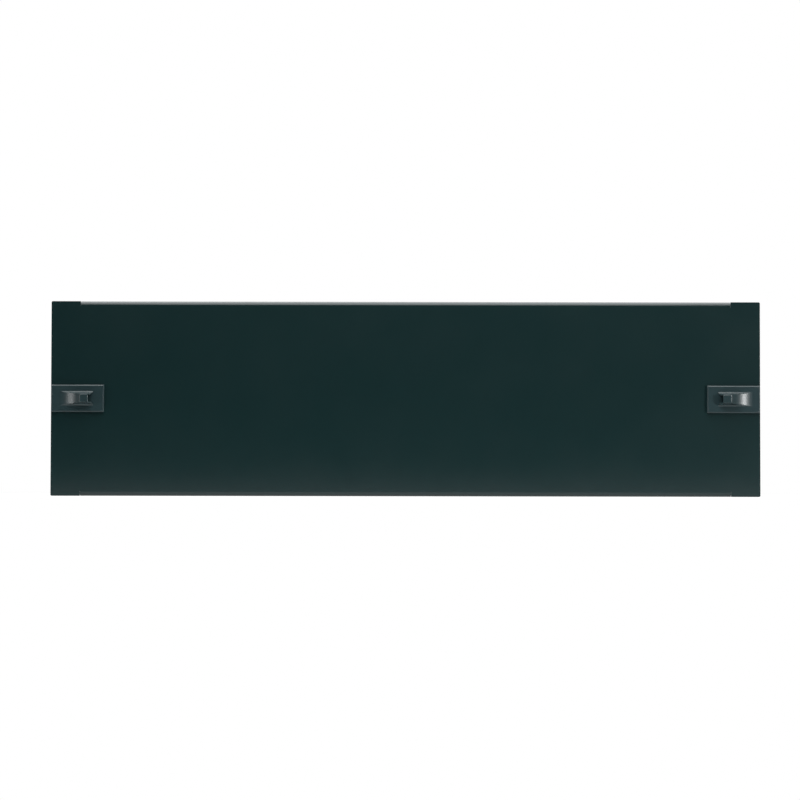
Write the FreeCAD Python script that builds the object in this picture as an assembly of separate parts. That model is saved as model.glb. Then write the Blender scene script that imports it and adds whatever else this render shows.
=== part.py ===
"""Rack blanking panel, 3U high: a folded steel sheet with a sprung slide latch at each end.

Millimetres. +X right, +Y away from the front, +Z up. The origin is the centre of the panel's back face,
which is the plane that seats on the rack rails. Latches are drawn at the right-hand end, where "inset" is
the distance in from the panel's end, and the same moulding is turned end for end for the left-hand end.
"""

import FreeCAD, Part
import math
import os

os.makedirs("parts", exist_ok=True)

# --- panel ---------------------------------------------------------------------------------------------
PANEL_WIDTH = 482.6
PANEL_HEIGHT = 132.55
SHEET = 1.5
CORNER_RADIUS = 1.0
BEND_INNER_RADIUS = 1.3
BEND_OUTER_RADIUS = BEND_INNER_RADIUS + SHEET
FLANGE_DEPTH = 15.9
FLANGE_LENGTH = 442.6
FLANGE_CORNER_CUT = 3.0
RELIEF_WIDTH = 0.15
RELIEF_DEPTH = BEND_OUTER_RADIUS + 0.5
FRONT_FACE = -SHEET
BACK_FACE = 0.0

# --- openings in the panel for one latch, as insets from the panel's end --------------------------------
HOOK_WINDOW_START = 4.2
HOOK_WINDOW_END = 13.3
HOOK_WINDOW_HEIGHT = 9.5
GUIDE_SLOT_START = 18.2
GUIDE_SLOT_END = 30.3
GUIDE_SLOT_HEIGHT = 9.4
SPRING_SLOT_END = 35.0
SPRING_SLOT_HEIGHT = 4.2
SLOT_CORNER_RADIUS = 0.5
TONGUE_LENGTH = 2.6
TONGUE_HEIGHT = 2.0

# --- latch moulding ------------------------------------------------------------------------------------
LATCH_TRAVEL = 3.0
SLIDE_GAP = 0.06
PLATE_START = 0.5
PLATE_END = 36.2
PLATE_HEIGHT = 18.5
PLATE_THICKNESS = 2.4
PLATE_BACK = FRONT_FACE - SLIDE_GAP
PLATE_FRONT = PLATE_BACK - PLATE_THICKNESS
PLATE_CHAMFER = 0.7
PLATE_END_CHAMFER = 0.25

HOOD_HEIGHT = 6.5
HOOD_WALL_WIDTH = 8.0
HOOD_CREST_WIDTH = 5.7
HOOD_ROOT_RADIUS = 1.6
RAMP_TOE = 5.6
CREST_START = 20.7
CREST_END = 26.0
HEEL_END = 28.85
RAMP_TOE_SLOPE = 4.0
ARRIS_RADIUS = 0.6
EMBED = 0.5
HOOD_DRAFT = math.atan((HOOD_WALL_WIDTH - HOOD_CREST_WIDTH) / 2 / HOOD_HEIGHT)
HOOD_ROOT_REACH = HOOD_ROOT_RADIUS * math.tan((math.radians(90) - HOOD_DRAFT) / 2)
HOOD_FOOT_WIDTH = HOOD_WALL_WIDTH + 2 * HOOD_ROOT_REACH

MOUTH_WIDTH = 4.8
MOUTH_START = CREST_END + 0.15
MOUTH_FLARE_START = 27.2
MOUTH_FLARE_WIDTH = 8.4
TUNNEL_TOE = 16.0
TUNNEL_KNEE = 21.5
TUNNEL_HEIGHT = 5.0

STEM_START = 4.25
STEM_END = 10.25
STEM_WIDTH = 9.0
CATCH_FACE = 2.4
CATCH_TIP = 2.2
CATCH_LIP = 0.9
HOOK_END = 8.0
HOOK_END_START = 7.0
HOOK_CORE_START = 7.3
HOOK_CORE_END = 9.0
HOOK_CORE_WIDTH = 5.4

LEG_START = 18.5
LEG_END = 25.5
LEG_THICKNESS = 1.3
LEG_OUTSIDE = GUIDE_SLOT_HEIGHT / 2 - 0.1
BARB_OVERHANG = 1.1
BARB_LIP = 0.7
LEG_TIP = 3.4

POST_START = 25.5
POST_END = 27.0
POST_WIDTH = 4.4
POST_TIP = 1.3
SPIGOT_LENGTH = 1.8
SPIGOT_RADIUS = 1.2
GROOVE_DEPTH = 1.2
GROOVE_WIDTH = 4.4
GROOVE_END = 35.3

# --- return spring -------------------------------------------------------------------------------------
SPRING_AXIS_Y = -SHEET / 2
SPRING_MEAN_RADIUS = 1.6
WIRE_RADIUS = 0.2
WIRE_SIDES = 8
SPRING_TURNS = 5.5


def at_inset(inset):
    """X of a point that lies this far in from the panel's right-hand end."""
    return PANEL_WIDTH / 2 - inset


def block(inset_start, inset_end, y_start, y_end, z_low, z_high):
    """Box between two insets, two depths and two heights."""
    size = (inset_end - inset_start, y_end - y_start, z_high - z_low)
    return Part.makeBox(*size, FreeCAD.Vector(at_inset(inset_end), y_start, z_low))


def prism(points, width):
    """Prism of a profile given as (inset, y) points, centred on z = 0."""
    corners = [FreeCAD.Vector(at_inset(u), y, -width / 2) for u, y in points]
    face = Part.Face(Part.makePolygon(corners + corners[:1]))
    return face.extrude(FreeCAD.Vector(0, 0, width))


def turned_end_for_end(shape):
    """The same piece at the other end of the panel."""
    turned = shape.copy()
    turned.rotate(FreeCAD.Vector(0, 0, 0), FreeCAD.Vector(0, 1, 0), 180)
    return turned


def rounded_sheet(x_low, x_high, z_low, z_high, radius):
    """Sheet-thick slab with its four upright corners rounded."""
    slab = Part.makeBox(x_high - x_low, SHEET, z_high - z_low, FreeCAD.Vector(x_low, FRONT_FACE, z_low))
    corners = [e for e in slab.Edges if abs(e.tangentAt(e.FirstParameter).y) > 0.9]
    return slab.makeFillet(radius, corners)


# --- panel ---------------------------------------------------------------------------------------------
def folded_edge():
    """Bend and flange along the top edge, with the flange's rear corners cut off."""
    top = PANEL_HEIGHT / 2
    centre_y = FRONT_FACE + BEND_OUTER_RADIUS
    centre_z = top - BEND_OUTER_RADIUS
    rear = FRONT_FACE + FLANGE_DEPTH
    diagonal = math.sin(math.radians(45))

    def point(y, z):
        return FreeCAD.Vector(-FLANGE_LENGTH / 2, y, z)

    def bend(radius):
        middle = point(centre_y - radius * diagonal, centre_z + radius * diagonal)
        arc = Part.Arc(point(centre_y - radius, centre_z), middle, point(centre_y, centre_z + radius))
        return arc.toShape()

    outside = Part.makeLine(point(centre_y, top), point(rear, top))
    edge = Part.makeLine(point(rear, top), point(rear, top - SHEET))
    inside = Part.makeLine(point(rear, top - SHEET), point(centre_y, top - SHEET))
    joint = Part.makeLine(point(BACK_FACE, centre_z), point(FRONT_FACE, centre_z))
    profile = [bend(BEND_OUTER_RADIUS), outside, edge, inside, bend(BEND_INNER_RADIUS), joint]
    wire = Part.Wire(Part.__sortEdges__(profile))
    fold = Part.Face(wire).extrude(FreeCAD.Vector(FLANGE_LENGTH, 0, 0))
    rear_corners = [
        e
        for e in fold.Edges
        if abs(e.tangentAt(e.FirstParameter).z) > 0.9 and abs(e.CenterOfMass.y - rear) < 0.01
    ]
    return fold.makeChamfer(FLANGE_CORNER_CUT, rear_corners)


def fold_clearance():
    """What is taken from the flat sheet along the top edge: the folded length and a slit at each end."""
    top = PANEL_HEIGHT / 2
    length = FLANGE_LENGTH + 2 * RELIEF_WIDTH
    corner = FreeCAD.Vector(-length / 2, FRONT_FACE, top - BEND_OUTER_RADIUS)
    strip = Part.makeBox(length, SHEET, BEND_OUTER_RADIUS, corner)
    for x in (-length / 2, length / 2 - RELIEF_WIDTH):
        corner = FreeCAD.Vector(x, FRONT_FACE, top - RELIEF_DEPTH)
        strip = strip.fuse(Part.makeBox(RELIEF_WIDTH, SHEET, RELIEF_DEPTH, corner))
    return strip


def latch_openings():
    """Hook window and guide slot of the right-hand latch, with the spring's tongue left standing."""
    window = rounded_sheet(
        at_inset(HOOK_WINDOW_END),
        at_inset(HOOK_WINDOW_START),
        -HOOK_WINDOW_HEIGHT / 2,
        HOOK_WINDOW_HEIGHT / 2,
        SLOT_CORNER_RADIUS,
    )
    guide = rounded_sheet(
        at_inset(GUIDE_SLOT_END),
        at_inset(GUIDE_SLOT_START),
        -GUIDE_SLOT_HEIGHT / 2,
        GUIDE_SLOT_HEIGHT / 2,
        SLOT_CORNER_RADIUS,
    )
    half = SPRING_SLOT_HEIGHT / 2
    spring_slot = block(GUIDE_SLOT_END - 1.0, SPRING_SLOT_END, FRONT_FACE, BACK_FACE, -half, half)
    half = TONGUE_HEIGHT / 2
    tongue_start = SPRING_SLOT_END - TONGUE_LENGTH
    tongue = block(tongue_start, SPRING_SLOT_END, FRONT_FACE, BACK_FACE, -half, half)
    return window.fuse([guide, spring_slot]).cut(tongue)


def panel():
    """The folded sheet, one piece of steel."""
    half_x = PANEL_WIDTH / 2
    half_z = PANEL_HEIGHT / 2
    flat = rounded_sheet(-half_x, half_x, -half_z, half_z, CORNER_RADIUS)
    top_cut = fold_clearance()
    top_fold = folded_edge()
    openings = latch_openings()
    flat = flat.cut([top_cut, turned_end_for_end(top_cut), openings, turned_end_for_end(openings)])
    return flat.fuse([top_fold, turned_end_for_end(top_fold)]).removeSplitter()


# --- latch moulding ------------------------------------------------------------------------------------
def latch_plate():
    """Flat plate that lies on the panel's face and covers its openings."""
    half = PLATE_HEIGHT / 2
    slab = block(PLATE_START, PLATE_END, PLATE_FRONT, PLATE_BACK, -half, half)
    outer_end = at_inset(PLATE_START)
    front = [e for e in slab.Edges if abs(e.CenterOfMass.y - PLATE_FRONT) < 0.01]
    slab = slab.makeChamfer(PLATE_CHAMFER, [e for e in front if outer_end - e.CenterOfMass.x > 0.01])
    front = [e for e in slab.Edges if abs(e.CenterOfMass.y - PLATE_FRONT) < 0.01]
    return slab.makeChamfer(PLATE_END_CHAMFER, [e for e in front if outer_end - e.CenterOfMass.x < 0.01])


def ramp_arc():
    """Hollow thumb ramp, an arc that leaves the plate at a shallow slope and steepens to the crest."""
    run = CREST_START - RAMP_TOE
    chord_slope = math.atan2(HOOD_HEIGHT, run)
    half_turn = chord_slope - math.radians(RAMP_TOE_SLOPE)
    radius = math.hypot(run, HOOD_HEIGHT) / (2 * math.sin(half_turn))
    sag = radius * (1 - math.cos(half_turn))
    middle_inset = (RAMP_TOE + CREST_START) / 2 + sag * math.sin(chord_slope)
    middle_height = HOOD_HEIGHT / 2 - sag * math.cos(chord_slope)
    z = -HOOD_FOOT_WIDTH / 2
    toe = FreeCAD.Vector(at_inset(RAMP_TOE), PLATE_FRONT, z)
    middle = FreeCAD.Vector(at_inset(middle_inset), PLATE_FRONT - middle_height, z)
    crest = FreeCAD.Vector(at_inset(CREST_START), PLATE_FRONT - HOOD_HEIGHT, z)
    return Part.Arc(toe, middle, crest).toShape()


def hood_block():
    """Prism of the hood's side profile: ramp, flat crest and sloping heel."""
    z = -HOOD_FOOT_WIDTH / 2
    outline = [
        (CREST_START, PLATE_FRONT - HOOD_HEIGHT),
        (CREST_END, PLATE_FRONT - HOOD_HEIGHT),
        (HEEL_END, PLATE_FRONT),
        (HEEL_END, PLATE_FRONT + EMBED),
        (RAMP_TOE, PLATE_FRONT + EMBED),
        (RAMP_TOE, PLATE_FRONT),
    ]
    corners = [FreeCAD.Vector(at_inset(u), y, z) for u, y in outline]
    edges = [ramp_arc()] + [Part.makeLine(a, b) for a, b in zip(corners, corners[1:])]
    wire = Part.Wire(Part.__sortEdges__(edges))
    return Part.Face(wire).extrude(FreeCAD.Vector(0, 0, HOOD_FOOT_WIDTH))


def hood_draft():
    """Prism of the hood's end profile: a flat crest, drafted walls and a hollow fillet at their root."""
    crest_y = PLATE_FRONT - HOOD_HEIGHT
    crest_z = HOOD_CREST_WIDTH / 2
    sunk_y = PLATE_FRONT + EMBED
    foot_z = HOOD_FOOT_WIDTH / 2
    half_turn = (math.radians(90) - HOOD_DRAFT) / 2
    arc_rise = HOOD_ROOT_RADIUS * (1 - math.cos(half_turn))
    arc_run = HOOD_ROOT_RADIUS * math.sin(half_turn)
    wall_rise = HOOD_ROOT_REACH * math.cos(HOOD_DRAFT)
    wall_z = HOOD_WALL_WIDTH / 2 - HOOD_ROOT_REACH * math.sin(HOOD_DRAFT)

    def point(y, z):
        return FreeCAD.Vector(at_inset(HEEL_END), y, z)

    def side(sign):
        foot = point(PLATE_FRONT, sign * foot_z)
        middle = point(PLATE_FRONT - arc_rise, sign * (foot_z - arc_run))
        wall = point(PLATE_FRONT - wall_rise, sign * wall_z)
        below = Part.makeLine(point(sunk_y, sign * foot_z), foot)
        above = Part.makeLine(wall, point(crest_y, sign * crest_z))
        return [below, Part.Arc(foot, middle, wall).toShape(), above]

    crest = Part.makeLine(point(crest_y, -crest_z), point(crest_y, crest_z))
    base = Part.makeLine(point(sunk_y, -foot_z), point(sunk_y, foot_z))
    wire = Part.Wire(Part.__sortEdges__(side(1) + side(-1) + [crest, base]))
    return Part.Face(wire).extrude(FreeCAD.Vector(HEEL_END - RAMP_TOE, 0, 0))


def hood():
    """Raised thumb grip with drafted sides and softened edges round its crest."""
    solid = hood_block().common(hood_draft())
    crest_y = PLATE_FRONT - HOOD_HEIGHT
    crest_edges = [e for e in solid.Edges if abs(e.CenterOfMass.y - crest_y) < 0.01]
    return solid.makeFillet(ARRIS_RADIUS, crest_edges)


def hood_tunnel():
    """Hollow under the crest, open through the heel as a square mouth."""
    outline = [
        (TUNNEL_TOE, PLATE_FRONT),
        (TUNNEL_KNEE, PLATE_FRONT - TUNNEL_HEIGHT),
        (MOUTH_START, PLATE_FRONT - TUNNEL_HEIGHT),
        (MOUTH_START, PLATE_FRONT - HOOD_HEIGHT - EMBED),
        (HEEL_END + EMBED, PLATE_FRONT - HOOD_HEIGHT - EMBED),
        (HEEL_END + EMBED, PLATE_FRONT),
    ]
    return prism(outline, MOUTH_WIDTH)


def mouth_flare():
    """Wedge that opens the mouth outwards between the ends of the hood's walls."""
    narrow = MOUTH_WIDTH / 2
    wide = MOUTH_FLARE_WIDTH / 2
    outline = [
        (MOUTH_FLARE_START, -narrow),
        (HEEL_END, -wide),
        (HEEL_END + EMBED, -wide),
        (HEEL_END + EMBED, wide),
        (HEEL_END, wide),
        (MOUTH_FLARE_START, narrow),
    ]
    corners = [FreeCAD.Vector(at_inset(u), PLATE_FRONT, z) for u, z in outline]
    face = Part.Face(Part.makePolygon(corners + corners[:1]))
    return face.extrude(FreeCAD.Vector(0, -HOOD_HEIGHT, 0))


def hook():
    """Stem and outward-facing catch that reach through the rail's square hole, cored from the rear."""
    outline = [
        (STEM_START, PLATE_BACK - EMBED),
        (STEM_START, CATCH_FACE),
        (CATCH_TIP, CATCH_FACE),
        (CATCH_TIP, CATCH_FACE + CATCH_LIP),
        (HOOK_END_START, HOOK_END),
        (STEM_END, HOOK_END),
        (STEM_END, PLATE_BACK - EMBED),
    ]
    half = HOOK_CORE_WIDTH / 2
    core = block(HOOK_CORE_START, HOOK_CORE_END, PLATE_BACK, HOOK_END, -half, half)
    return prism(outline, STEM_WIDTH).cut(core)


def guide_leg():
    """Upper snap leg: it runs on the slot's long edge, and its barb holds the latch to the sheet."""
    outside = LEG_OUTSIDE
    inside = LEG_OUTSIDE - LEG_THICKNESS
    barb_y = BACK_FACE + SLIDE_GAP
    outline = [
        (PLATE_BACK - EMBED, inside),
        (PLATE_BACK - EMBED, outside),
        (barb_y, outside),
        (barb_y, outside + BARB_OVERHANG),
        (barb_y + BARB_LIP, outside + BARB_OVERHANG),
        (LEG_TIP, outside - LEG_THICKNESS / 3),
        (LEG_TIP, inside),
    ]
    corners = [FreeCAD.Vector(at_inset(LEG_END), y, z) for y, z in outline]
    face = Part.Face(Part.makePolygon(corners + corners[:1]))
    return face.extrude(FreeCAD.Vector(LEG_END - LEG_START, 0, 0))


def spring_post():
    """Post between the legs that the spring pushes on, with a spigot inside the coil."""
    half = POST_WIDTH / 2
    post = block(POST_START, POST_END, PLATE_BACK - EMBED, POST_TIP, -half, half)
    start = FreeCAD.Vector(at_inset(POST_END), SPRING_AXIS_Y, 0)
    inward = FreeCAD.Vector(-1, 0, 0)
    return post.fuse(Part.makeCylinder(SPIGOT_RADIUS, SPIGOT_LENGTH, start, inward))


def spring_groove():
    """Recess in the back of the plate for the front half of the coil."""
    half = GROOVE_WIDTH / 2
    return block(POST_END, GROOVE_END, PLATE_BACK - GROOVE_DEPTH, PLATE_BACK, -half, half)


def latch():
    """Right-hand latch, one moulding, in its locked position."""
    upper_leg = guide_leg()
    lower_leg = upper_leg.mirror(FreeCAD.Vector(0, 0, 0), FreeCAD.Vector(0, 0, 1))
    body = latch_plate().cut(spring_groove())
    body = body.fuse([hood(), hook(), upper_leg, lower_leg, spring_post()])
    return body.cut([hood_tunnel(), mouth_flare()]).removeSplitter()


# --- return spring -------------------------------------------------------------------------------------
def wire_section():
    """Cross-section of the spring's wire at the start of its coil, eight-sided to keep its facets few."""
    corners = []
    for side in range(WIRE_SIDES):
        angle = 2 * math.pi * side / WIRE_SIDES
        across = SPRING_MEAN_RADIUS + WIRE_RADIUS * math.cos(angle)
        corners.append(FreeCAD.Vector(across, 0, WIRE_RADIUS * math.sin(angle)))
    return Part.makePolygon(corners + corners[:1])


def return_spring():
    """Compression spring between the latch's post and the end of the slot, round the sheet's tongue."""
    length = SPRING_SLOT_END - POST_END - 2 * WIRE_RADIUS
    helix = Part.makeHelix(length / SPRING_TURNS, length, SPRING_MEAN_RADIUS)
    coil = Part.Wire(helix).makePipeShell([wire_section()], True, True)
    coil.rotate(FreeCAD.Vector(0, 0, 0), FreeCAD.Vector(0, 1, 0), 90)
    coil.translate(FreeCAD.Vector(at_inset(SPRING_SLOT_END - WIRE_RADIUS), SPRING_AXIS_Y, 0))
    return coil


def save(name, shape):
    """Write one piece as its own STEP file."""
    shape.exportStep(f"parts/{name}.step")
    print(name, shape.ShapeType, len(shape.Solids), shape.isValid(), round(shape.Volume, 1))


right_latch = latch()
right_spring = return_spring()
save("panel", panel())
save("latch_right", right_latch)
save("latch_left", turned_end_for_end(right_latch))
save("latch_spring_right", right_spring)
save("latch_spring_left", turned_end_for_end(right_spring))
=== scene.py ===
"""Rack blanking panel: materials, springs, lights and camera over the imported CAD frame.

Laid out as an add-on and run as a script. Metres, in the CAD frame: +X right, +Y away from the front, +Z up.
"""

import math

import bpy
from bpy.props import FloatProperty, FloatVectorProperty, IntProperty, PointerProperty
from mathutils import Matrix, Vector


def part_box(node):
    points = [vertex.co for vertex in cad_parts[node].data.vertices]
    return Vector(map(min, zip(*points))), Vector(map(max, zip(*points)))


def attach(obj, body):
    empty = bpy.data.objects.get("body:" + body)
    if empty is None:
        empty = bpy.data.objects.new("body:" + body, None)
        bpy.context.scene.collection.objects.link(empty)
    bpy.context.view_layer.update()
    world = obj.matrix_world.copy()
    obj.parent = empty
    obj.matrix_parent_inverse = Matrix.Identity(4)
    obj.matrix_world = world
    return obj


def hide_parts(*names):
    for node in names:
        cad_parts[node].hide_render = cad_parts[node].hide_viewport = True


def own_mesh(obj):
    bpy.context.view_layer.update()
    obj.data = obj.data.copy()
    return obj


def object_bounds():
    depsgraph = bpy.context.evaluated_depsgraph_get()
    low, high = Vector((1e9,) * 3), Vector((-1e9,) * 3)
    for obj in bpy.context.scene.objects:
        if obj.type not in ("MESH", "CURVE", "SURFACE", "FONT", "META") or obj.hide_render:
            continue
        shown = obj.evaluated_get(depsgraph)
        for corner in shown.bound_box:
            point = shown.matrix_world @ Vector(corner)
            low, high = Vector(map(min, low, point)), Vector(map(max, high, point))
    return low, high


bl_info = {
    "name": "Rack blanking panel",
    "version": (1, 0, 0),
    "blender": (4, 5, 0),
    "location": "3D View > Sidebar > Blanking panel",
    "description": "Finishes, springs, lights and camera for a rack blanking panel",
    "category": "Object",
}

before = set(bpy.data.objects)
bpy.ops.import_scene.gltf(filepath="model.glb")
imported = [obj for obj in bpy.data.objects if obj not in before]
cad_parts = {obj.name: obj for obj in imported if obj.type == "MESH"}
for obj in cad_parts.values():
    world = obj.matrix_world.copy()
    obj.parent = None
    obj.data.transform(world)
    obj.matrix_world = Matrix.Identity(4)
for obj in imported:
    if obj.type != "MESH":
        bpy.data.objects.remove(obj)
CAD_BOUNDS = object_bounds()

PANEL = "panel"
LATCHES = ("latch_left", "latch_right")
SPRINGS = {
    "latch_spring_left": {"piece": "return_coil_left", "joint": "left_latch_slide", "fixed_end": "high"},
    "latch_spring_right": {"piece": "return_coil_right", "joint": "right_latch_slide", "fixed_end": "low"},
}
SHEET_BODY = "sheet"

# Both side lamps end below the top flange, so its upper face never mirrors them. Metres and watts.
LAMPS = (
    {
        "name": "lamp_right",
        "place": (0.74, -0.55, 0.0),
        "aim": (0.2, 0.0, 0.0),
        "width": 0.14,
        "height": 0.12,
        "power": 3.25,
    },
    {
        "name": "lamp_left",
        "place": (-0.85, -0.43, 0.0),
        "aim": (-0.2, 0.0, 0.0),
        "width": 0.25,
        "height": 0.12,
        "power": 1.1,
    },
    {
        "name": "lamp_top",
        "place": (0.0, -0.2, 0.45),
        "aim": (0.0, -0.2, 0.0),
        "width": 0.65,
        "height": 0.96,
        "power": 9.4,
    },
)

# The floor's reach in metres, and the distances between which it fades from a faint shadow to white.
FLOOR_SIDE = 3.0
FLOOR_FRONT = -0.1
FLOOR_BACK = 4.0
FADE_START = 0.26
FADE_END = 0.6
WHITE_NEAR_PANEL = 0.85

# Light of the dim room, and the directions along Y between which its far wall turns white in reflections.
ROOM_LIGHT = 0.04
WALL_START = -0.1
WALL_END = 0.3

# Point that the camera looks at, in metres, and the width of its sensor, in millimetres.
CAMERA_AIM = (-0.0038, 0.0, -0.0007)
SENSOR_WIDTH = 36.0

# Usual for both polyester and nylon.
RESIN_IOR = 1.5


def linear(hex_colour):
    """Linear RGBA of an sRGB hex colour."""
    channels = [int(hex_colour[i : i + 2], 16) / 255 for i in (1, 3, 5)]
    curve = [c / 12.92 if c <= 0.04045 else ((c + 0.055) / 1.055) ** 2.4 for c in channels]
    return (*curve, 1.0)


def per_metre(size_mm):
    """Texture scale of a pattern whose cells are this many millimetres across."""
    return 1000.0 / size_mm


# --- settings ------------------------------------------------------------------------------------------
class CoatSettings(bpy.types.PropertyGroup):
    colour: FloatVectorProperty(
        name="Coat colour",
        description="Colour of the powder coat",
        subtype="COLOR",
        size=4,
        min=0.0,
        max=1.0,
        default=linear("#082122"),
    )
    roughness: FloatProperty(
        name="Coat roughness",
        description="Mean roughness of the satin powder coat",
        subtype="FACTOR",
        min=0.0,
        max=1.0,
        default=0.3,
    )
    texture_size: FloatProperty(
        name="Orange peel",
        description="Width of one bump of the coat's fine texture",
        subtype="DISTANCE",
        unit="LENGTH",
        min=0.0001,
        max=0.01,
        default=0.0009,
    )
    texture_depth: FloatProperty(
        name="Texture depth",
        description="Height of the coat's fine texture",
        subtype="DISTANCE",
        unit="LENGTH",
        min=0.0,
        max=0.001,
        default=0.000018,
    )
    edge_radius: FloatProperty(
        name="Coated edge",
        description="Radius that the coat gives the sheet's cut edges",
        subtype="DISTANCE",
        unit="LENGTH",
        min=0.0,
        max=0.001,
        default=0.0003,
    )


class MouldingSettings(bpy.types.PropertyGroup):
    colour: FloatVectorProperty(
        name="Plastic colour",
        description="Colour of the latch mouldings",
        subtype="COLOR",
        size=4,
        min=0.0,
        max=1.0,
        default=linear("#203134"),
    )
    roughness: FloatProperty(
        name="Plastic roughness",
        description="Mean roughness of the moulded surface",
        subtype="FACTOR",
        min=0.0,
        max=1.0,
        default=0.31,
    )
    grain_size: FloatProperty(
        name="Mould grain",
        description="Width of one cell of the mould's spark-eroded grain",
        subtype="DISTANCE",
        unit="LENGTH",
        min=0.00005,
        max=0.005,
        default=0.0003,
    )
    edge_radius: FloatProperty(
        name="Moulded edge",
        description="Radius of the moulding's sharp edges",
        subtype="DISTANCE",
        unit="LENGTH",
        min=0.0,
        max=0.001,
        default=0.00015,
    )


class SpringSettings(bpy.types.PropertyGroup):
    colour: FloatVectorProperty(
        name="Wire colour",
        description="Colour of the spring wire",
        subtype="COLOR",
        size=4,
        min=0.0,
        max=1.0,
        default=linear("#B9BABC"),
    )
    turns: FloatProperty(
        name="Turns",
        description="Number of turns in each return spring",
        min=1.0,
        max=20.0,
        default=5.5,
    )
    wire_diameter: FloatProperty(
        name="Wire diameter",
        description="Diameter of the spring wire",
        subtype="DISTANCE",
        unit="LENGTH",
        min=0.0001,
        max=0.002,
        default=0.0004,
    )
    compressed: FloatProperty(
        name="Compressed length",
        description="Share of its locked length that a spring keeps when its latch is drawn back",
        subtype="FACTOR",
        min=0.1,
        max=1.0,
        default=0.625,
    )
    steps: IntProperty(
        name="Steps per turn",
        description="Straight steps that make one turn of the coil",
        min=8,
        max=96,
        default=32,
    )


class StageSettings(bpy.types.PropertyGroup):
    floor_colour: FloatVectorProperty(
        name="Floor colour",
        description="Colour of the plain floor",
        subtype="COLOR",
        size=4,
        min=0.0,
        max=1.0,
        default=linear("#F4F4F4"),
    )
    camera_distance: FloatProperty(
        name="Camera distance",
        description="Distance from the camera to the panel's back face",
        subtype="DISTANCE",
        unit="LENGTH",
        min=0.5,
        max=10.0,
        default=1.6,
    )
    frame_width: FloatProperty(
        name="Framed width",
        description="Width that the picture covers in the plane of the panel",
        subtype="DISTANCE",
        unit="LENGTH",
        min=0.1,
        max=5.0,
        default=0.5449,
    )
    pitch: FloatProperty(
        name="Camera pitch",
        description="How far the camera looks upwards",
        subtype="ANGLE",
        unit="ROTATION",
        default=math.radians(1.87),
    )
    roll: FloatProperty(
        name="Camera roll",
        description="Turn of the camera about its line of sight",
        subtype="ANGLE",
        unit="ROTATION",
        default=math.radians(0.1),
    )


# --- helpers -------------------------------------------------------------------------------------------
def add_node(tree, kind, inputs=None, **settings):
    """Node of this kind with its settings, its inputs given values or linked to other nodes' outputs."""
    node = tree.nodes.new(kind)
    for name, value in settings.items():
        setattr(node, name, value)
    for socket, value in (inputs or {}).items():
        if isinstance(value, bpy.types.NodeSocket):
            tree.links.new(value, node.inputs[socket])
        else:
            node.inputs[socket].default_value = value
    return node


def new_material(name):
    """Empty node material, with its tree."""
    material = bpy.data.materials.new(name)
    material.use_nodes = True
    material.node_tree.nodes.clear()
    return material, material.node_tree


def give_material(obj, material):
    """The object wears this material alone."""
    obj.data.materials.clear()
    obj.data.materials.append(material)


def coat_material(settings):
    """Black polyester powder coat, sprayed dry and baked on the folded steel.

    The powder melts into a thick even skin. The eye gets a dark satin with wide soft highlights along the
    bends, rounded edges, a faint orange peel, and a gloss that drifts a little from place to place.
    """
    gloss_drift = 0.015
    drift_width_mm = 35.0
    material, tree = new_material("baked_powder_coat")
    place = add_node(tree, "ShaderNodeTexCoord").outputs["Object"]
    peel = add_node(
        tree,
        "ShaderNodeTexNoise",
        {"Vector": place, "Scale": 1.0 / settings.texture_size, "Detail": 3.0, "Roughness": 0.55},
    )
    drift = add_node(
        tree,
        "ShaderNodeTexNoise",
        {"Vector": place, "Scale": per_metre(drift_width_mm), "Detail": 2.0, "Roughness": 0.5},
    )
    gloss = add_node(
        tree,
        "ShaderNodeMapRange",
        {
            "Value": drift.outputs["Fac"],
            "From Min": 0.3,
            "From Max": 0.7,
            "To Min": settings.roughness - gloss_drift,
            "To Max": settings.roughness + gloss_drift,
        },
    )
    edge = add_node(tree, "ShaderNodeBevel", {"Radius": settings.edge_radius}, samples=6)
    bump = add_node(
        tree,
        "ShaderNodeBump",
        {
            "Strength": 1.0,
            "Distance": settings.texture_depth,
            "Height": peel.outputs["Fac"],
            "Normal": edge.outputs["Normal"],
        },
    )
    shader = add_node(
        tree,
        "ShaderNodeBsdfPrincipled",
        {
            "Base Color": settings.colour,
            "Roughness": gloss.outputs["Result"],
            "IOR": RESIN_IOR,
            "Normal": bump.outputs["Normal"],
        },
    )
    add_node(tree, "ShaderNodeOutputMaterial", {"Surface": shader.outputs["BSDF"]})
    return material


def moulding_material(settings):
    """Black nylon, moulded in a spark-eroded tool.

    The eye gets a dark satin that is a little paler than the coat, crisp edges, and a smooth highlight on
    the curved ramp. The real grain, some 0.05 mm wide, is drawn coarser so that it shows.
    """
    gloss_spread = 0.02
    grain_depth = 0.000004
    material, tree = new_material("moulded_nylon")
    place = add_node(tree, "ShaderNodeTexCoord").outputs["Object"]
    grain = add_node(
        tree,
        "ShaderNodeTexNoise",
        {"Vector": place, "Scale": 1.0 / settings.grain_size, "Detail": 2.0, "Roughness": 0.5},
    )
    gloss = add_node(
        tree,
        "ShaderNodeMapRange",
        {
            "Value": grain.outputs["Fac"],
            "From Min": 0.3,
            "From Max": 0.7,
            "To Min": settings.roughness - gloss_spread,
            "To Max": settings.roughness + gloss_spread,
        },
    )
    edge = add_node(tree, "ShaderNodeBevel", {"Radius": settings.edge_radius}, samples=6)
    bump = add_node(
        tree,
        "ShaderNodeBump",
        {
            "Strength": 1.0,
            "Distance": grain_depth,
            "Height": grain.outputs["Fac"],
            "Normal": edge.outputs["Normal"],
        },
    )
    shader = add_node(
        tree,
        "ShaderNodeBsdfPrincipled",
        {
            "Base Color": settings.colour,
            "Roughness": gloss.outputs["Result"],
            "IOR": RESIN_IOR,
            "Normal": bump.outputs["Normal"],
        },
    )
    add_node(tree, "ShaderNodeOutputMaterial", {"Surface": shader.outputs["BSDF"]})
    return material


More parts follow.
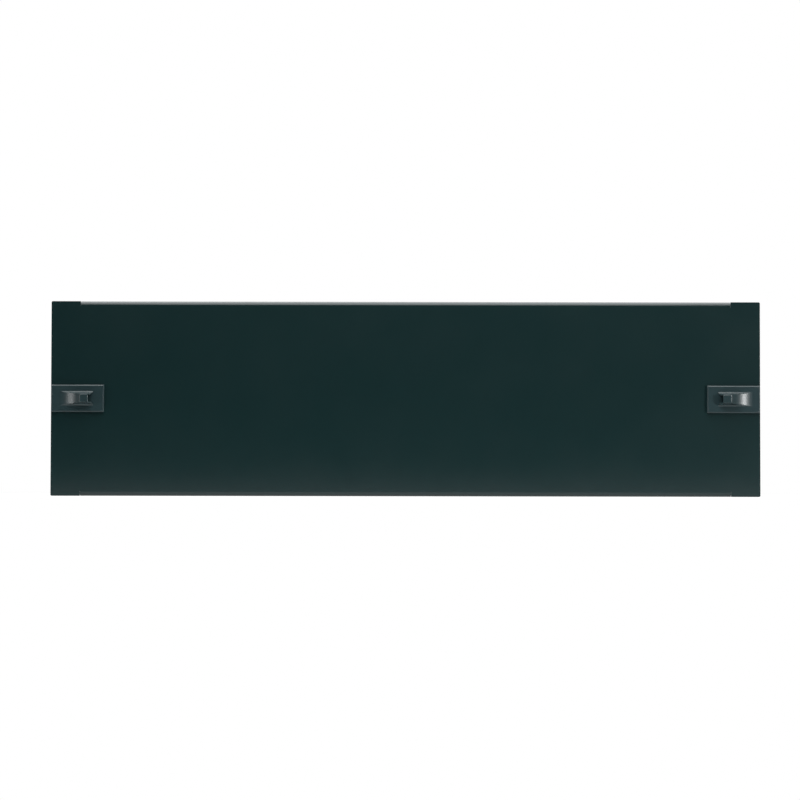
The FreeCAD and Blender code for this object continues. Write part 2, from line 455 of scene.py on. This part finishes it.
def wire_material(settings):
    """Spring steel wire, drawn bright through a die.

    The eye gets a bright metal with slightly scuffed gloss. The real draw marks, some 0.02 mm wide, are
    drawn coarser so that they show.
    """
    draw_mark_mm = 0.15
    brightest, dullest = 0.2, 0.34
    material, tree = new_material("drawn_spring_steel")
    place = add_node(tree, "ShaderNodeTexCoord").outputs["Object"]
    draw_marks = add_node(
        tree,
        "ShaderNodeTexNoise",
        {"Vector": place, "Scale": per_metre(draw_mark_mm), "Detail": 2.0, "Roughness": 0.6},
    )
    gloss = add_node(
        tree,
        "ShaderNodeMapRange",
        {
            "Value": draw_marks.outputs["Fac"],
            "From Min": 0.3,
            "From Max": 0.7,
            "To Min": brightest,
            "To Max": dullest,
        },
    )
    shader = add_node(
        tree,
        "ShaderNodeBsdfPrincipled",
        {"Base Color": settings.colour, "Metallic": 1.0, "Roughness": gloss.outputs["Result"]},
    )
    add_node(tree, "ShaderNodeOutputMaterial", {"Surface": shader.outputs["BSDF"]})
    return material


def coil_mesh(name, low, high, settings):
    """Closed round-wire coil that fills a spring's box along X."""
    wire_sides = 10
    wire = settings.wire_diameter / 2
    middle = (low + high) / 2
    radius = (high.z - low.z) / 2 - wire
    start_x = low.x + wire
    length = high.x - low.x - 2 * wire
    slope = math.atan2(length / settings.turns, 2 * math.pi * radius)
    count = round(settings.turns * settings.steps)
    vertices = []
    for i in range(count + 1):
        angle = 2 * math.pi * settings.turns * i / count
        outward = Vector((0.0, math.sin(angle), math.cos(angle)))
        around = Vector((0.0, math.cos(angle), -math.sin(angle)))
        forward = Vector((math.sin(slope), 0.0, 0.0)) + around * math.cos(slope)
        side = forward.cross(outward)
        centre = Vector((start_x + length * i / count, middle.y, middle.z)) + outward * radius
        for k in range(wire_sides):
            turn = 2 * math.pi * k / wire_sides
            vertices.append(centre + wire * (outward * math.cos(turn) + side * math.sin(turn)))
    faces = []
    for i in range(count):
        for k in range(wire_sides):
            a = i * wire_sides + k
            b = i * wire_sides + (k + 1) % wire_sides
            faces.append((a, b, b + wire_sides, a + wire_sides))
    faces.append(tuple(reversed(range(wire_sides))))
    faces.append(tuple(range(count * wire_sides, (count + 1) * wire_sides)))
    mesh = bpy.data.meshes.new(name)
    mesh.from_pydata([tuple(v) for v in vertices], [], faces)
    mesh.update()
    mesh.polygons.foreach_set("use_smooth", [len(f) == 4 for f in faces])
    return mesh


def link_object(name, data):
    """New object in the scene's own collection."""
    obj = bpy.data.objects.new(name, data)
    bpy.context.scene.collection.objects.link(obj)
    return obj


def soft_box(name, place, aim, width, height, power):
    """Area lamp of this size in metres and power in watts, turned to face its aim."""
    lamp = bpy.data.lights.new(name, "AREA")
    lamp.shape = "RECTANGLE"
    lamp.size = width
    lamp.size_y = height
    lamp.energy = power
    obj = link_object(name, lamp)
    obj.location = place
    obj.rotation_euler = (Vector(aim) - Vector(place)).to_track_quat("-Z", "Y").to_euler()
    return obj


# --- operators -----------------------------------------------------------------------------------------
class BLANKING_OT_coat(bpy.types.Operator):
    """Give the folded sheet its powder coat"""

    bl_idname = "blanking.coat"
    bl_label = "Coat the panel"

    def execute(self, context):
        material = coat_material(context.scene.blanking_coat)
        give_material(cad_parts[PANEL], material)
        return {"FINISHED"}


class BLANKING_OT_mouldings(bpy.types.Operator):
    """Give both latches their moulded plastic"""

    bl_idname = "blanking.mouldings"
    bl_label = "Finish the latches"

    def execute(self, context):
        material = moulding_material(context.scene.blanking_moulding)
        for name in LATCHES:
            give_material(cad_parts[name], material)
        return {"FINISHED"}


class BLANKING_OT_springs(bpy.types.Operator):
    """Wind a round-wire return spring for each latch"""

    bl_idname = "blanking.springs"
    bl_label = "Wind the springs"

    def execute(self, context):
        settings = context.scene.blanking_spring
        material = wire_material(settings)
        for node, facts in SPRINGS.items():
            low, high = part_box(node)
            coil = link_object(facts["piece"], coil_mesh(facts["piece"], low, high, settings))
            give_material(coil, material)
            give_material(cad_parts[node], material)
            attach(coil, SHEET_BODY)
            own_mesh(coil)
            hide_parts(node)
        return {"FINISHED"}


class BLANKING_OT_stage(bpy.types.Operator):
    """Add the floor, the world, the lamps and the camera"""

    bl_idname = "blanking.stage"
    bl_label = "Set the stage"

    def execute(self, context):
        settings = context.scene.blanking_stage
        self.add_floor(settings)
        self.add_world()
        self.add_lamps()
        self.add_camera(context, settings)
        return {"FINISHED"}

    def add_floor(self, settings):
        """Floor of matt white paint at the panel's lower edge: an even pale ground with a faint shadow."""
        tone_width_mm = 400.0
        level = CAD_BOUNDS[0].z
        corners = [
            (-FLOOR_SIDE, FLOOR_FRONT, level),
            (FLOOR_SIDE, FLOOR_FRONT, level),
            (FLOOR_SIDE, FLOOR_BACK, level),
            (-FLOOR_SIDE, FLOOR_BACK, level),
        ]
        mesh = bpy.data.meshes.new("floor")
        mesh.from_pydata(corners, [], [(0, 1, 2, 3)])
        floor = link_object("floor", mesh)
        material, tree = new_material("matt_white_paint")
        place = add_node(tree, "ShaderNodeTexCoord").outputs["Object"]
        clouds = add_node(tree, "ShaderNodeTexNoise", {"Vector": place, "Scale": per_metre(tone_width_mm)})
        tone = add_node(
            tree,
            "ShaderNodeMix",
            {"Factor": clouds.outputs["Fac"], "A": settings.floor_colour, "B": linear("#FAFAFA")},
            data_type="RGBA",
        )
        lit = add_node(tree, "ShaderNodeBsdfDiffuse", {"Color": tone.outputs[2]})
        white = add_node(tree, "ShaderNodeEmission", {"Color": linear("#FFFFFF"), "Strength": 1.0})
        distance = add_node(tree, "ShaderNodeVectorMath", {0: place}, operation="LENGTH").outputs["Value"]
        fade = add_node(
            tree,
            "ShaderNodeMapRange",
            {
                "Value": distance,
                "From Min": FADE_START,
                "From Max": FADE_END,
                "To Min": WHITE_NEAR_PANEL,
                "To Max": 1.0,
            },
            interpolation_type="SMOOTHSTEP",
        )
        share = add_node(
            tree,
            "ShaderNodeMath",
            {0: self.seen_directly(tree), 1: fade.outputs["Result"]},
            operation="MULTIPLY",
        )
        both = add_node(
            tree, "ShaderNodeMixShader", {0: share.outputs[0], 1: lit.outputs[0], 2: white.outputs[0]}
        )
        add_node(tree, "ShaderNodeOutputMaterial", {"Surface": both.outputs[0]})
        mesh.materials.append(material)

    def seen_directly(self, tree):
        """1 for the camera's own rays and for those from a mirror or glass, 0 for the rays of plain light."""
        ray = add_node(tree, "ShaderNodeLightPath")
        mirrored = add_node(
            tree,
            "ShaderNodeMath",
            {0: ray.outputs["Is Glossy Ray"], 1: ray.outputs["Is Transmission Ray"]},
            operation="MAXIMUM",
        )
        seen = add_node(
            tree,
            "ShaderNodeMath",
            {0: ray.outputs["Is Camera Ray"], 1: mirrored.outputs[0]},
            operation="MAXIMUM",
        )
        return seen.outputs[0]

    def add_world(self):
        """Dim room whose far wall is white in reflections, and plain white to the camera."""
        world = bpy.data.worlds.new("studio")
        bpy.context.scene.world = world
        world.use_nodes = True
        tree = world.node_tree
        tree.nodes.clear()
        towards = add_node(tree, "ShaderNodeTexCoord").outputs["Generated"]
        parts = add_node(tree, "ShaderNodeSeparateXYZ", {"Vector": towards})
        far_wall = add_node(
            tree,
            "ShaderNodeMapRange",
            {
                "Value": parts.outputs["Y"],
                "From Min": WALL_START,
                "From Max": WALL_END,
                "To Min": 0.0,
                "To Max": 1.0,
            },
            interpolation_type="SMOOTHSTEP",
        )
        room = add_node(tree, "ShaderNodeBackground", {"Color": linear("#FFFFFF"), "Strength": ROOM_LIGHT})
        white = add_node(tree, "ShaderNodeBackground", {"Color": linear("#FFFFFF"), "Strength": 1.0})
        ray = add_node(tree, "ShaderNodeLightPath")
        mirrored = add_node(
            tree,
            "ShaderNodeMath",
            {0: ray.outputs["Is Glossy Ray"], 1: far_wall.outputs["Result"]},
            operation="MULTIPLY",
        )
        direct = add_node(
            tree,
            "ShaderNodeMath",
            {0: mirrored.outputs[0], 1: ray.outputs["Is Camera Ray"]},
            operation="MAXIMUM",
        )
        seen = add_node(
            tree,
            "ShaderNodeMath",
            {0: direct.outputs[0], 1: ray.outputs["Is Transmission Ray"]},
            operation="MAXIMUM",
        )
        both = add_node(
            tree, "ShaderNodeMixShader", {0: seen.outputs[0], 1: room.outputs[0], 2: white.outputs[0]}
        )
        add_node(tree, "ShaderNodeOutputWorld", {"Surface": both.outputs[0]})

    def add_lamps(self):
        """A soft box on each side, the right-hand one stronger, and one overhead for the bends."""
        for lamp in LAMPS:
            soft_box(**lamp)

    def add_camera(self, context, settings):
        """Long lens straight in front, a little below the panel's middle and looking slightly up."""
        camera = bpy.data.cameras.new("camera")
        camera.sensor_width = SENSOR_WIDTH
        camera.lens = SENSOR_WIDTH * settings.camera_distance / settings.frame_width
        camera.clip_end = 100.0
        obj = link_object("camera", camera)
        back = Vector((0.0, -math.cos(settings.pitch), -math.sin(settings.pitch)))
        obj.location = Vector(CAMERA_AIM) + back * settings.camera_distance
        obj.rotation_euler = (-back).to_track_quat("-Z", "Y").to_euler()
        obj.rotation_euler.rotate_axis("Z", settings.roll)
        context.scene.camera = obj
        context.scene.view_settings.view_transform = "Standard"


class BLANKING_PT_panel(bpy.types.Panel):
    """Sidebar panel with the settings and the build steps"""

    bl_idname = "BLANKING_PT_panel"
    bl_label = "Blanking panel"
    bl_space_type = "VIEW_3D"
    bl_region_type = "UI"
    bl_category = "Blanking panel"

    def draw(self, context):
        for step, settings in STEPS:
            column = self.layout.column()
            group = getattr(context.scene, settings)
            for name in group.__annotations__:
                column.prop(group, name)
            column.operator(step.bl_idname)


STEPS = (
    (BLANKING_OT_coat, "blanking_coat"),
    (BLANKING_OT_mouldings, "blanking_moulding"),
    (BLANKING_OT_springs, "blanking_spring"),
    (BLANKING_OT_stage, "blanking_stage"),
)
GROUPS = {
    "blanking_coat": CoatSettings,
    "blanking_moulding": MouldingSettings,
    "blanking_spring": SpringSettings,
    "blanking_stage": StageSettings,
}


def register():
    for name, group in GROUPS.items():
        bpy.utils.register_class(group)
        setattr(bpy.types.Scene, name, PointerProperty(type=group))
    for operator, _ in STEPS:
        bpy.utils.register_class(operator)
    bpy.utils.register_class(BLANKING_PT_panel)


def unregister():
    bpy.utils.unregister_class(BLANKING_PT_panel)
    for operator, _ in reversed(STEPS):
        bpy.utils.unregister_class(operator)
    for name, group in reversed(GROUPS.items()):
        delattr(bpy.types.Scene, name)
        bpy.utils.unregister_class(group)


def main():
    register()
    bpy.ops.blanking.coat()
    bpy.ops.blanking.mouldings()
    bpy.ops.blanking.springs()
    bpy.ops.blanking.stage()


if __name__ == "__main__":
    main()
